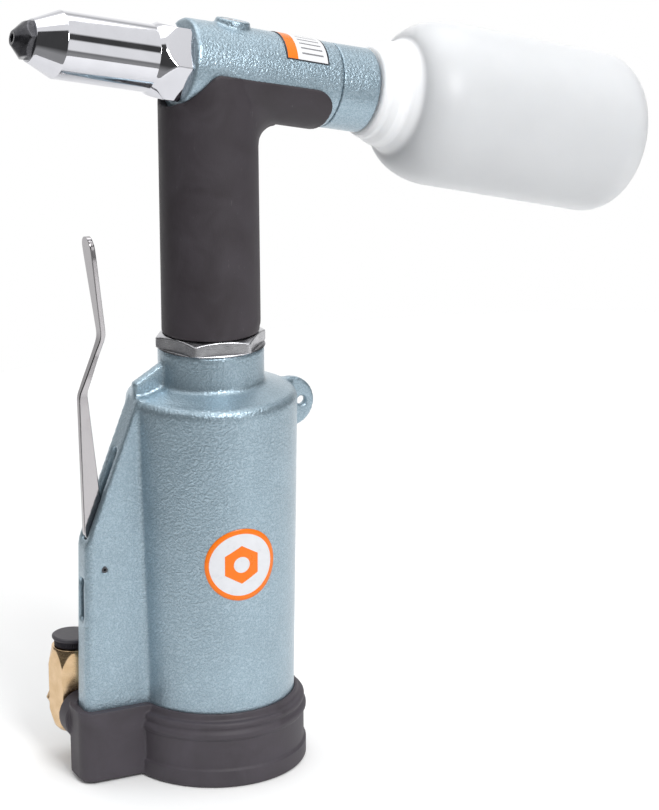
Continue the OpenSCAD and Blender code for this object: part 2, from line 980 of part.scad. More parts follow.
module trigger_pin() {
    pin_half = housing_half - 0.5;
    color(steel)
        translate([pivot[0], pin_half, pivot[1]])
            rotate([90, 0, 0])
                washer(0.6, pin_r, 0, 2 * pin_half);
}

module valve_pushrod() {
    color(steel)
        translate([valve_x, 0, 0])
            turned([
                [0, stem_top], [pin_r, stem_top], [pin_r, 87], [pin_r - 0.5, 87.8], [0, 88.1]
            ]);
}

module valve_guide() {
    color([0.75, 0.6, 0.35])
        translate([valve_x, 0, 0])
            washer(pin_r + run_gap, valve_bore_r - seat_gap, 57, 66);
}

module valve_sleeve() {
    color([0.75, 0.6, 0.35])
        translate([valve_x, 0, 0])
            difference() {
                washer(2.9 + run_gap, valve_bore_r - seat_gap, 8, 57);
                for (height = [port_z, inlet_z], turn = [0, 90])
                    translate([0, 0, height])
                        rotate([0, 0, turn])
                            rotate([90, 0, 0])
                                cylinder(r = 1.3, h = 10, center = true);
            }
}

module valve_spool() {
    land_h = 4.5;
    stem_r = 1.6;
    land_r = 2.9;
    ring_r = 2.2;
    color(steel)
        translate([valve_x, 0, 0])
            difference() {
                union() {
                    translate([0, 0, land_z[0]])
                        cylinder(r = stem_r, h = stem_top - land_z[0]);
                    for (z = land_z)
                        translate([0, 0, z])
                            cylinder(r = land_r, h = land_h);
                }
                for (z = land_z)
                    washer(ring_r, land_r + 1, z + 1.5, z + 3);
            }
}

module spool_orings() {
    color(seal_black)
        translate([valve_x, 0, 0])
            for (z = land_z)
                translate([0, 0, z + 2.25])
                    o_ring(2.56, 0.36);
}

module valve_spring() {
    color(steel)
        translate([valve_x, 0, 0])
            coil(2.2, 0.3, 8.1, 15.4, 5);
}

module valve_plug() {
    color([0.75, 0.6, 0.35])
        translate([valve_x, 0, 0])
            difference() {
                translate([0, 0, cyl_bottom])
                    cylinder(r = valve_bore_r - seat_gap, h = 4);
                translate([-4, -0.5, cyl_bottom - cut])
                    cube([8, 1, 2]);
            }
}

// Hexagonal swivel with turned ends and two milled seats for its bolt
module inlet_swivel() {
    corner = swivel_af / 2 / cos(30);
    mid = (swivel_y[0] + swivel_y[1]) / 2;
    z0 = swivel_z[0] - inlet_z;
    z1 = swivel_z[1] - inlet_z;
    color([0.75, 0.6, 0.35])
        at_inlet()
            difference() {
                translate([0, mid, 0])
                    intersection() {
                        translate([0, 0, z0])
                            rotate([0, 0, -swivel_turn])
                                cylinder(r = corner, h = z1 - z0, $fn = 6);
                        turned([
                            [0, z0], [corner - 3.4, z0], [corner - 1.6, z0 + 1.4],
                            [corner - 0.5, z0 + 4], [corner + past, z0 + 9],
                            [corner + past, z1 - 11], [corner - 0.6, z1 - 4.8],
                            [corner - 1.5, z1 - 2],
                            [corner - 2.8, z1], [0, z1]
                        ]);
                        translate([-15, -swivel_af / 2, z0])
                            cube([30, swivel_af, z1 - z0]);
                    }
                translate([0, swivel_y[0] - cut, 0])
                    rotate([-90, 0, 0])
                        cylinder(r = bolt_r + run_gap, h = swivel_af + 2 * cut);
                translate([0, mid, z1 - 16])
                    cylinder(r = port_r, h = 18);
                translate([0, mid, 0])
                    cylinder(r = 2.5, h = 20);
            }
}

module swivel_bolt() {
    head_h = 3.4;
    groove_y = [swivel_y[0] + 2, swivel_y[1] - 3.5];
    color([0.75, 0.6, 0.35])
        at_inlet()
            rotate([-90, 0, 0])
                difference() {
                    union() {
                        translate([0, 0, -2.5])
                            cylinder(r = bolt_r + 0.5 - seat_gap, h = inlet_reach + 2.5);
                        cylinder(r = bolt_r, h = swivel_y[1] + 1);
                        hex_bar(14, swivel_y[1] + 0.2, swivel_y[1] + 0.2 + head_h, 1.2);
                    }
                    for (y = groove_y)
                        washer(bolt_r - 0.9, bolt_r + 1, y, y + 1.5);
                    translate([0, 0, -3])
                        cylinder(r = 2.2, h = swivel_y[1] - 1);
                    translate([0, 0, (swivel_y[0] + swivel_y[1]) / 2])
                        rotate([90, 0, 0])
                            cylinder(r = 1.5, h = 12, center = true);
                }
}

module swivel_orings() {
    color(seal_black)
        at_inlet()
            rotate([-90, 0, 0])
                for (y = [swivel_y[0] + 2.75, swivel_y[1] - 2.75])
                    translate([0, 0, y])
                        o_ring(bolt_r - 0.42, 0.42);
}

module dust_cap() {
    cap_r = 8.6;
    skirt_r = 7.4;
    cap_z = swivel_z[1] - inlet_z + 0.2;
    top_z = cap_z + 4.6;
    ridges = 40;
    color(seal_black)
        at_inlet()
            translate([0, (swivel_y[0] + swivel_y[1]) / 2, 0])
                difference() {
                    turned([
                        [0, cap_z - 7], [port_r - 0.4, cap_z - 7], [port_r - 0.2, cap_z - 6],
                        [port_r - 0.2, cap_z], [skirt_r, cap_z], [skirt_r, cap_z + cap_step],
                        [cap_r - 0.3, cap_z + cap_step], [cap_r, cap_z + cap_step + 0.4],
                        [cap_r, top_z - 0.7], [cap_r - 0.7, top_z], [0, top_z]
                    ]);
                    for (i = [0:ridges - 1])
                        rotate([0, 0, 360 * i / ridges])
                            translate([skirt_r + 0.1, 0, cap_z - cut])
                                cylinder(r = 0.35, h = cap_step + cut, $fn = 3);
                }
}

module cylinder_sticker() {
    sticker_r = 15.6;
    sticker_z = 96.4;
    facing = 4;
    slope = (cyl_r_top - cyl_r_low) / (draft_top_z - boot_h);
    wall_r = [for (z = [sticker_z - 20, sticker_z + 20]) cyl_r_low + (z - boot_h) * slope];
    color([0.95, 0.5, 0.1])
        intersection() {
            turned([
                [wall_r[0] + seat_gap, sticker_z - 20], [wall_r[0] + 0.2, sticker_z - 20],
                [wall_r[1] + 0.2, sticker_z + 20], [wall_r[1] + seat_gap, sticker_z + 20]
            ]);
            translate([0, 0, sticker_z])
                rotate([0, 0, -facing])
                    rotate([90, 0, 0])
                        cylinder(r = sticker_r, h = 50);
        }
}

module head_label() {
    label_s = [26.4, 46];
    label_from = 155;
    label_span = 83;
    label_t = 0.16;
    slope = (tail_r - head_r) / (seam_s - taper_s);
    label_r = [for (along = label_s) head_r + seat_gap + slope * (along - taper_s)];
    color([0.95, 0.95, 0.95])
        on_head()
            rotate([0, 0, label_from])
                rotate_extrude(angle = label_span)
                    polygon([
                        [label_r[0], label_s[0]], [label_r[0] + label_t, label_s[0]],
                        [label_r[1] + label_t, label_s[1]], [label_r[1], label_s[1]]
                    ]);
}

air_cylinder();
base_boot();
lock_nut();
head_housing();
grip_sleeve();
nose_sleeve();
nosepiece();
jaw_case();
jaw_1();
jaw_2();
jaw_3();
jaw_pusher();
jaw_spring();
jaw_coupler();
pull_piston();
pull_piston_seal();
rod_seal();
return_spring();
rear_cap();
mandrel_tube();
bottle_oring();
collector_bottle();
oil_plug();
oil_plug_washer();
ram_gland();
ram_seal();
ram_rod();
air_piston();
air_piston_seal();
ram_nut();
cylinder_end_cap();
end_cap_oring();
circlip();
trigger_lever();
trigger_pin();
valve_pushrod();
valve_guide();
valve_sleeve();
valve_spool();
spool_orings();
valve_spring();
valve_plug();
inlet_swivel();
swivel_bolt();
swivel_orings();
dust_cap();
cylinder_sticker();
head_label();
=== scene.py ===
"""Looks of the hand riveter: soft-edged castings, turned and hexagonal metal, rubber, film and plastic.

Pieces are drawn in millimetres and become metres when they are made into objects.
"""

import json
import math

import bmesh
import bpy
from mathutils import Matrix, Vector


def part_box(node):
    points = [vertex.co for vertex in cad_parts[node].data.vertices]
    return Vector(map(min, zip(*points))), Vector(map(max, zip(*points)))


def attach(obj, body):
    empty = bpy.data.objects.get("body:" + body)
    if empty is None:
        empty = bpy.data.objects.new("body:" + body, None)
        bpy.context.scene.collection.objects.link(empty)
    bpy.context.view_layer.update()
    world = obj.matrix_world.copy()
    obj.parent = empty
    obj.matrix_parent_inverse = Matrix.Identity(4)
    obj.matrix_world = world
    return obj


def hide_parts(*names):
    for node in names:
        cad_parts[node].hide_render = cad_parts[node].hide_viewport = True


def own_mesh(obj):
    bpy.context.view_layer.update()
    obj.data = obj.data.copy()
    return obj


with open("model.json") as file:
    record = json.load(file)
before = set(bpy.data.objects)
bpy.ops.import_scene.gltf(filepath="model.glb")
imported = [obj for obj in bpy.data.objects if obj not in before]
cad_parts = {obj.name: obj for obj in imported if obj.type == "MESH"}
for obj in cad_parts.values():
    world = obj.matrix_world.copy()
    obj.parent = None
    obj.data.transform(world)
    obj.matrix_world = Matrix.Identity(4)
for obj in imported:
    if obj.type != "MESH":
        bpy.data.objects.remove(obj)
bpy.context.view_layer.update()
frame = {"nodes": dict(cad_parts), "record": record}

MM = 0.001

# The head's axis: its height on the cylinder's axis, and how far the nose points up
HEAD_Z = 295.1
TILT = math.radians(12.1)

# The bottle hangs a little below the head's axis, turned about its seal, this far along the head
DROOP = math.radians(1.6)
SEAL_S = 75

# The round sticker on the cylinder: radius, height of its middle, and the way it faces
STICKER_R = 15.5
STICKER_Z = 96.4
STICKER_FACING = math.radians(-94)

# The label on the head: where it starts and ends along the head, and its edges in degrees from the top
LABEL_START, LABEL_END = 26.4, 46
LABEL_FAR, LABEL_NEAR = -25, 58


# ---------------------------------------------------------------- places

def head_matrix():
    """Head frame: z runs from the nose to the bottle, x points down, y stays crosswise."""
    along = Vector((math.cos(TILT), 0, -math.sin(TILT)))
    down = Vector((-math.sin(TILT), 0, -math.cos(TILT)))
    across = Vector((0, 1, 0))
    m = Matrix((down, across, along)).transposed().to_4x4()
    m.translation = Vector((0, 0, HEAD_Z))
    return m


def bottle_matrix():
    """Head frame turned about the seal, so that the bottle droops."""
    to_seal = Matrix.Translation((0, 0, SEAL_S))
    from_seal = Matrix.Translation((0, 0, -SEAL_S))
    return HEAD @ to_seal @ Matrix.Rotation(DROOP, 4, "Y") @ from_seal


def inlet_matrix():
    """Upright frame on the axis of the inlet and its cap."""
    low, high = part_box("dust_cap")
    centre = (low + high) / 2 / MM
    centre.z = 0
    return Matrix.Translation(centre)


HEAD = head_matrix()
BOTTLE = bottle_matrix()
UPRIGHT = Matrix.Identity(4)


def head_radius(s):
    """Radius of the head casting, which narrows towards the rear cap."""
    front, narrowing, start, length = 18.2, 0.9, 15, 38
    return front - narrowing * min(max((s - start) / length, 0), 1)


def wall_radius(z):
    """Radius of the air cylinder, which is a little wider at the top."""
    bottom, widening, start, length = 33.5, 1.9, 31.5, 127.1
    return bottom + widening * (z - start) / length


# ---------------------------------------------------------------- outlines

def soften(points, steps=5):
    """Closed outline of (r, z, rounding) points with its corners turned into arcs."""
    out = []
    straight = math.radians(89)
    for i, (r, z, rounding) in enumerate(points):
        here = Vector((r, z))
        before = Vector(points[i - 1][:2]) - here
        after = Vector(points[(i + 1) % len(points)][:2]) - here
        half = before.angle(after) / 2
        if rounding <= 0 or half > straight:
            out.append((r, z))
            continue
        reach = min(rounding / math.tan(half), 0.49 * before.length, 0.49 * after.length)
        radius = reach * math.tan(half)
        middle = (before.normalized() + after.normalized()).normalized()
        centre = here + middle * radius / math.sin(half)
        start = here + before.normalized() * reach - centre
        end = here + after.normalized() * reach - centre
        out += [tuple(centre + arm) for arm in arc(start, end, steps)]
    return out


def arc(start, end, steps):
    """Arms from a centre that turn from start to end."""
    sweep = start.angle_signed(end)
    arms = []
    for k in range(steps + 1):
        arm = start.copy()
        arm.rotate(Matrix.Rotation(-sweep * k / steps, 2))
        arms.append(arm)
    return arms


def spread(points, longest):
    """Adds points so that no stretch of the closed outline is longer than longest."""
    out = []
    for i, (r, z) in enumerate(points):
        r2, z2 = points[(i + 1) % len(points)]
        pieces = max(1, math.ceil(math.hypot(r2 - r, z2 - z) / longest))
        for k in range(pieces):
            t = k / pieces
            out.append((r + (r2 - r) * t, z + (z2 - z) * t))
    return out


def hexed(flat, corner, from_z, to_z, sharpness):
    """A shape for turned_bmesh that trims the outline to a hexagon between two heights.

    flat is the distance from the axis to a side, corner the place of a corner in degrees, and a
    higher sharpness gives crisper edges.
    """
    def shape(r, z, angle):
        """The radius trimmed by the nearest side, smoothly where the two are alike."""
        if not from_z <= z <= to_z:
            return r
        turn = (angle - math.radians(corner)) % (math.pi / 3) - math.pi / 6
        side = flat / math.cos(turn)
        near, far = min(r, side), max(r, side)
        return near * (1 + (near / far) ** sharpness) ** (-1 / sharpness)
    return shape


def value_at(points, place):
    """The value at a place on a line of (place, value) points."""
    for (z0, v0), (z1, v1) in zip(points, points[1:]):
        if place <= z1:
            return v0 + (v1 - v0) * max(0, place - z0) / (z1 - z0)
    return points[-1][1]


# ---------------------------------------------------------------- meshes

def turned_bmesh(outline, place, segments=192, shape=None):
    """Spins a closed outline of (r, z) points; shape(r, z, angle) may change each radius."""
    bm = bmesh.new()
    rings = []
    for r, z in outline:
        ring = []
        if r < 1e-6:
            ring = [bm.verts.new(place @ Vector((0, 0, z)))] * segments
        else:
            for k in range(segments):
                angle = 2 * math.pi * k / segments
                reach = shape(r, z, angle) if shape else r
                point = Vector((reach * math.cos(angle), reach * math.sin(angle), z))
                ring.append(bm.verts.new(place @ point))
        rings.append(ring)
    for i, ring in enumerate(rings):
        after = rings[(i + 1) % len(rings)]
        for k in range(segments):
            n = (k + 1) % segments
            corners = list(dict.fromkeys([ring[k], ring[n], after[n], after[k]]))
            if len(corners) > 2:
                bm.faces.new(corners)
    return bm


def bridge(bm, low, high):
    """Faces between two closed rings of points."""
    for k in range(len(low)):
        n = (k + 1) % len(low)
        bm.faces.new([low[k], high[k], high[n], low[n]])


def loft(bm, rings):
    """A closed solid through rings of points, with flat ends."""
    for low, high in zip(rings, rings[1:]):
        bridge(bm, low, high)
    bm.faces.new(rings[0])
    bm.faces.new(rings[-1])


def stand_for(name, mesh, body, node):
    """A piece in the scene that rides on a body and stands for a CAD node."""
    piece = bpy.data.objects.new(name, mesh)
    bpy.context.scene.collection.objects.link(piece)
    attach(piece, body)
    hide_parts(node)
    return piece


def new_object(name, bm, body, node):
    """A smooth piece in metres from a bmesh in millimetres."""
    bmesh.ops.scale(bm, vec=(MM, MM, MM), verts=bm.verts)
    bmesh.ops.recalc_face_normals(bm, faces=bm.faces)
    mesh = bpy.data.meshes.new(name)
    bm.to_mesh(mesh)
    bm.free()
    mesh.shade_smooth()
    return stand_for(name, mesh, body, node)


def copy_node(node, name, body):
    """A piece with a separate copy of a CAD node's mesh."""
    mesh = frame["nodes"][node].data.copy()
    mesh.name = name
    return stand_for(name, mesh, body, node)


def apply_modifiers(piece):
    """Bakes the modifiers of a piece into its mesh."""
    graph = bpy.context.evaluated_depsgraph_get()
    mesh = bpy.data.meshes.new_from_object(piece.evaluated_get(graph))
    piece.modifiers.clear()
    piece.data = mesh
    mesh.name = piece.name


def shade(piece, sharp_from):
    """Smooth shading, with sharp edges from an angle in degrees."""
    piece.data.shade_smooth()
    piece.data.set_sharp_from_angle(angle=math.radians(sharp_from))


def soft_copy(node, name, body, voxel, rounds, keep, extra=None):
    """A CAD node with its edges melted, as a thick coat or a mould leaves them.

    voxel is the size of the remesh in millimetres, rounds how often it is smoothed, keep the share
    of its faces that stay, and extra a bmesh in metres that is melted in too.
    """
    piece = copy_node(node, name, body)
    if extra:
        extra.from_mesh(piece.data)
        extra.to_mesh(piece.data)
        extra.free()
    remesh = piece.modifiers.new("remesh", "REMESH")
    remesh.mode = "VOXEL"
    remesh.voxel_size = voxel * MM
    remesh.use_smooth_shade = True
    smooth = piece.modifiers.new("smooth", "SMOOTH")
    smooth.factor = 0.5
    smooth.iterations = rounds
    thin = piece.modifiers.new("thin", "DECIMATE")
    thin.ratio = keep
    apply_modifiers(piece)
    piece.data.shade_smooth()
    return piece


def bevelled_copy(node, name, body, width):
    """A CAD node with small rounded edges, width millimetres wide."""
    piece = copy_node(node, name, body)
    bm = bmesh.new()
    bm.from_mesh(piece.data)
    bmesh.ops.remove_doubles(bm, verts=bm.verts, dist=1e-6)
    bmesh.ops.dissolve_limit(bm, angle_limit=math.radians(0.6), verts=bm.verts, edges=bm.edges)
    bm.to_mesh(piece.data)
    bm.free()
    bevel = piece.modifiers.new("bevel", "BEVEL")
    bevel.width = width * MM
    bevel.segments = 3
    bevel.limit_method = "ANGLE"
    bevel.angle_limit = math.radians(28)
    apply_modifiers(piece)
    shade(piece, 32)
    return piece


# ---------------------------------------------------------------- material helpers

def start_material(name, **values):
    """A material with one Principled shader, its constants set on the shader's own sockets."""
    material = bpy.data.materials.new(name)
    material.use_nodes = True
    shader = material.node_tree.nodes["Principled BSDF"]
    for key, value in values.items():
        shader.inputs[key.replace("_", " ")].default_value = value
    return material, material.node_tree, shader


def feed(tree, socket, value):
    """Links a socket to another one, or sets it to a constant."""
    if isinstance(value, bpy.types.NodeSocket):
        tree.links.new(value, socket)
    else:
        socket.default_value = value


def link(tree, value, shader, name):
    """Links a socket to one of the shader's inputs."""
    tree.links.new(value, shader.inputs[name])


def math_node(tree, operation, a, b=0.0):
    """The result of one operation on two values."""
    node = tree.nodes.new("ShaderNodeMath")
    node.operation = operation
    feed(tree, node.inputs[0], a)
    feed(tree, node.inputs[1], b)
    return node.outputs[0]


def chain(tree, operation, first, *others):
    """One operation over several values, from left to right."""
    for other in others:
        first = math_node(tree, operation, first, other)
    return first


def weighed(tree, a, weight_a, b, weight_b):
    """a times its weight plus b times its weight."""
    return math_node(tree, "ADD", math_node(tree, "MULTIPLY", a, weight_a),
                     math_node(tree, "MULTIPLY", b, weight_b))


def vector_node(tree, operation, vector, other):
    """A vector operation with a constant vector."""
    node = tree.nodes.new("ShaderNodeVectorMath")
    node.operation = operation
    tree.links.new(vector, node.inputs[0])
    node.inputs[1].default_value = other
    return node


def place_of(tree):
    """Position on the piece, in metres."""
    return tree.nodes.new("ShaderNodeTexCoord").outputs["Object"]


def stretched(tree, where, scale):
    """Position scaled by axis; a small scale draws the pattern out along that axis."""
    node = tree.nodes.new("ShaderNodeMapping")
    node.inputs["Scale"].default_value = scale
    tree.links.new(where, node.inputs["Vector"])
    return node.outputs["Vector"]


def noise(tree, where, size, detail=3.0, roughness=0.5, distortion=0.0):
    """Noise whose lumps are about size millimetres across."""
    node = tree.nodes.new("ShaderNodeTexNoise")
    tree.links.new(where, node.inputs["Vector"])
    node.inputs["Scale"].default_value = 1 / (size * MM)
    node.inputs["Detail"].default_value = detail
    node.inputs["Roughness"].default_value = roughness
    node.inputs["Distortion"].default_value = distortion
    return node.outputs["Fac"]


def grey(level):
    """A colour without hue."""
    return (level, level, level)


def ramp(tree, value, *stops):
    """Colour by value; each stop is (place, colour)."""
    node = tree.nodes.new("ShaderNodeValToRGB")
    tree.links.new(value, node.inputs["Fac"])
    elements = node.color_ramp.elements
    while len(elements) < len(stops):
        elements.new(0.5)
    for element, (at, colour) in zip(elements, stops):
        element.position = at
        element.color = (*colour, 1)
    return node.outputs["Color"]


def vary(tree, value, a, b, start=0.3, end=0.7):
    """From colour a to colour b as the value goes from start to end."""
    return ramp(tree, value, (start, a), (end, b))


def blend_colour(tree, factor, a, b, mode="MIX"):
    """Two colours blended, each a socket or a constant."""
    node = tree.nodes.new("ShaderNodeMix")
    node.data_type = "RGBA"
    node.blend_type = mode
    sockets = {socket.identifier: socket for socket in node.inputs}
    feed(tree, sockets["Factor_Float"], factor)
    for name, value in (("A_Color", a), ("B_Color", b)):
        feed(tree, sockets[name], (*value, 1) if isinstance(value, tuple) else value)
    return next(socket for socket in node.outputs if socket.identifier == "Result_Color")


def bump(tree, height, depth, strength, before=None):
    """A bump of depth millimetres; before is the normal that it is added to."""
    node = tree.nodes.new("ShaderNodeBump")
    tree.links.new(height, node.inputs["Height"])
    node.inputs["Strength"].default_value = strength
    node.inputs["Distance"].default_value = depth * MM
    if before is not None:
        tree.links.new(before, node.inputs["Normal"])
    return node.outputs["Normal"]


# ---------------------------------------------------------------- materials

def hammertone():
    """Grey-blue hammer paint: pale metallic cells with thin darker lines of painted shade for their
    valleys, under a clear gloss.
    """
    material, tree, shader = start_material(
        "hammer_paint", Metallic=0.7, Coat_Weight=0.2, Coat_Roughness=0.2, Specular_IOR_Level=0.5,
    )
    where = place_of(tree)
    lumps = noise(tree, where, 1.05, detail=2.2, roughness=0.55, distortion=0.35)
    # Distance from the lines where painted shade stands for the valleys between the cells
    shade_line_distance = math_node(tree, "ABSOLUTE", math_node(tree, "SUBTRACT", lumps, 0.47))
    fleck = noise(tree, where, 0.34, roughness=0.6)
    broad = noise(tree, where, 24, detail=2.0)
    # Painted shade: darkest on the valley lines, paler on the slopes and the cell tops
    valley_shade, slope_shade, top = (0.24, 0.33, 0.39), (0.33, 0.43, 0.5), (0.38, 0.485, 0.555)
    paint = ramp(tree, shade_line_distance, (0.0, valley_shade), (0.045, slope_shade), (0.16, top))
    mottle = vary(tree, fleck, grey(0.88), grey(1.04), 0.32, 0.66)
    tone = vary(tree, broad, grey(0.95), grey(1.04))
    colour = blend_colour(tree, 1.0, paint, mottle, "MULTIPLY")
    colour = blend_colour(tree, 1.0, colour, tone, "MULTIPLY")
    link(tree, colour, shader, "Base Color")
    link(tree, vary(tree, fleck, grey(0.36), grey(0.26)), shader, "Roughness")
    height = math_node(tree, "ADD", lumps, math_node(tree, "MULTIPLY", fleck, 0.25))
    link(tree, bump(tree, height, 0.38, 0.85), shader, "Normal")
    return material


def rubber(name, base, dusty, grain, scuffs):
    """Dull black rubber with a moulded grain, dusty patches and pale upright scuffs."""
    material, tree, shader = start_material(name, Specular_IOR_Level=0.42)
    where = place_of(tree)
    fine = noise(tree, where, grain, detail=4.0, roughness=0.62)
    cloud = noise(tree, where, 17, detail=4.0, roughness=0.6, distortion=0.6)
    rub = noise(tree, stretched(tree, where, (1, 1, 0.16)), 1.1, roughness=0.7)
    marks = vary(tree, rub, grey(0), grey(1), 0.66, 0.74)
    patches = vary(tree, cloud, grey(0), grey(scuffs), 0.5, 0.68)
    wear = math_node(tree, "MULTIPLY", marks, patches)
    tone = vary(tree, cloud, base, dusty, 0.3, 0.75)
    link(tree, blend_colour(tree, wear, tone, (0.2, 0.19, 0.195)), shader, "Base Color")
    link(tree, vary(tree, cloud, grey(0.5), grey(0.64)), shader, "Roughness")
    link(tree, bump(tree, fine, 0.07, 0.6), shader, "Normal")
    return material


def chrome(name, level, rough, tint):
    """Polished plate: a mirror with faint wiping marks and handling haze."""
    material, tree, shader = start_material(name, Metallic=1.0)
    where = place_of(tree)
    haze = noise(tree, where, 9, distortion=0.5)
    fine = noise(tree, where, 0.35)
    low, high = (tuple(level * dim * part for part in tint) for dim in (0.95, 1.02))
    link(tree, vary(tree, haze, low, high), shader, "Base Color")
    link(tree, vary(tree, haze, grey(rough), grey(rough * 2.4), 0.35, 0.75), shader, "Roughness")
    link(tree, bump(tree, fine, 0.004, 0.25), shader, "Normal")
    return material


def machined(name, dark, light, rough):
    """Turned or milled bare metal with fine tool lines."""
    material, tree, shader = start_material(name, Metallic=1.0)
    where = place_of(tree)
    lines = noise(tree, stretched(tree, where, (0.05, 0.05, 1)), 0.18, detail=2.0)
    patch = noise(tree, where, 5)
    link(tree, vary(tree, patch, dark, light), shader, "Base Color")
    link(tree, vary(tree, lines, grey(rough), grey(rough + 0.14)), shader, "Roughness")
    link(tree, bump(tree, lines, 0.01, 0.4), shader, "Normal")
    return material


def black_oxide():
    """Blackened steel, oily and slightly worn to grey in patches."""
    material, tree, shader = start_material(
        "black_oxide", Metallic=0.85, Coat_Weight=0.4, Coat_Roughness=0.12,
    )
    where = place_of(tree)
    patch = noise(tree, where, 2.6, detail=4.0, roughness=0.6)
    fine = noise(tree, where, 0.22)
    colour = vary(tree, patch, (0.04, 0.04, 0.046), (0.1, 0.1, 0.11), 0.35, 0.8)
    link(tree, colour, shader, "Base Color")
    link(tree, vary(tree, patch, grey(0.2), grey(0.32)), shader, "Roughness")
    link(tree, bump(tree, fine, 0.015, 0.4), shader, "Normal")
    return material


def milky_plastic():
    """Blow-moulded milky plastic: light soaks in, the gloss is low and slightly wavy."""
    material, tree, shader = start_material(
        "milky_plastic", Subsurface_Weight=0.75, Subsurface_Scale=0.013,
        Subsurface_Radius=(1.0, 0.95, 0.9), Specular_IOR_Level=0.3,
    )
    where = place_of(tree)
    wave = noise(tree, where, 26, detail=2.0)
    fine = noise(tree, where, 0.8)
    link(tree, vary(tree, wave, (0.86, 0.865, 0.88), (0.89, 0.895, 0.91)), shader, "Base Color")
    link(tree, vary(tree, wave, grey(0.3), grey(0.4)), shader, "Roughness")
    normal = bump(tree, wave, 0.5, 0.35)
    link(tree, bump(tree, fine, 0.02, 0.3, normal), shader, "Normal")
    return material


def cap_plastic():
    """Moulded charcoal plastic with a fine matt grain."""
    material, tree, shader = start_material("cap_plastic", Specular_IOR_Level=0.45)
    where = place_of(tree)
    fine = noise(tree, where, 0.3)
    patch = noise(tree, where, 4)
    link(tree, vary(tree, patch, (0.024, 0.021, 0.028), (0.042, 0.038, 0.048)), shader, "Base Color")
    link(tree, vary(tree, patch, grey(0.38), grey(0.5)), shader, "Roughness")
    link(tree, bump(tree, fine, 0.03, 0.5), shader, "Normal")
    return material


def seal_rubber():
    """Smooth oiled seal rubber."""
    material, tree, shader = start_material("seal_rubber", Specular_IOR_Level=0.5)
    patch = noise(tree, place_of(tree), 1.2)
    link(tree, vary(tree, patch, (0.012, 0.012, 0.013), (0.028, 0.027, 0.028)), shader, "Base Color")
    link(tree, vary(tree, patch, grey(0.28), grey(0.4)), shader, "Roughness")
    return material


ORANGE = (0.82, 0.17, 0.003)


def print_film(tree, shader, colour, where):
    """Printed film: its colour, a faint gloss change and the paint's relief showing through."""
    patch = noise(tree, where, 3)
    worn = vary(tree, patch, grey(0.95), grey(1.0))
    link(tree, blend_colour(tree, 1.0, colour, worn, "MULTIPLY"), shader, "Base Color")
    link(tree, vary(tree, patch, grey(0.26), grey(0.36)), shader, "Roughness")
    link(tree, bump(tree, noise(tree, where, 1.3, detail=2.0), 0.03, 0.4), shader, "Normal")


def sticker_film():
    """Round sticker: an orange ring round a white field with a plain orange hexagon nut on it."""
    # Shares of the sticker's radius
    ring, nut_flat, nut_hole = 0.86, 0.46, 0.22
    material, tree, shader = start_material(
        "sticker_film", Coat_Weight=0.1, Coat_Roughness=0.15, Specular_IOR_Level=0.3,
    )
    where = place_of(tree)
    turn = tree.nodes.new("ShaderNodeVectorRotate")
    turn.rotation_type = "Z_AXIS"
    tree.links.new(where, turn.inputs["Vector"])
    turn.inputs["Angle"].default_value = -math.pi / 2 - STICKER_FACING
    split = tree.nodes.new("ShaderNodeSeparateXYZ")
    tree.links.new(turn.outputs["Vector"], split.inputs["Vector"])
    above = math_node(tree, "SUBTRACT", split.outputs["Z"], STICKER_Z * MM)
    u = math_node(tree, "DIVIDE", split.outputs["X"], STICKER_R * MM)
    v = math_node(tree, "DIVIDE", above, STICKER_R * MM)
    reach = math_node(tree, "SQRT", weighed(tree, u, u, v, v))
    leans = [weighed(tree, u, math.cos(a), v, math.sin(a)) for a in (0, math.pi / 3, 2 * math.pi / 3)]
    side = chain(tree, "MAXIMUM", *(math_node(tree, "ABSOLUTE", lean) for lean in leans))
    in_hex = math_node(tree, "LESS_THAN", side, nut_flat)
    in_hole = math_node(tree, "LESS_THAN", reach, nut_hole)
    in_ring = math_node(tree, "GREATER_THAN", reach, ring)
    orange = math_node(tree, "MAXIMUM", math_node(tree, "SUBTRACT", in_hex, in_hole), in_ring)
    print_film(tree, shader, blend_colour(tree, orange, (0.66, 0.67, 0.7), ORANGE), where)
    return material


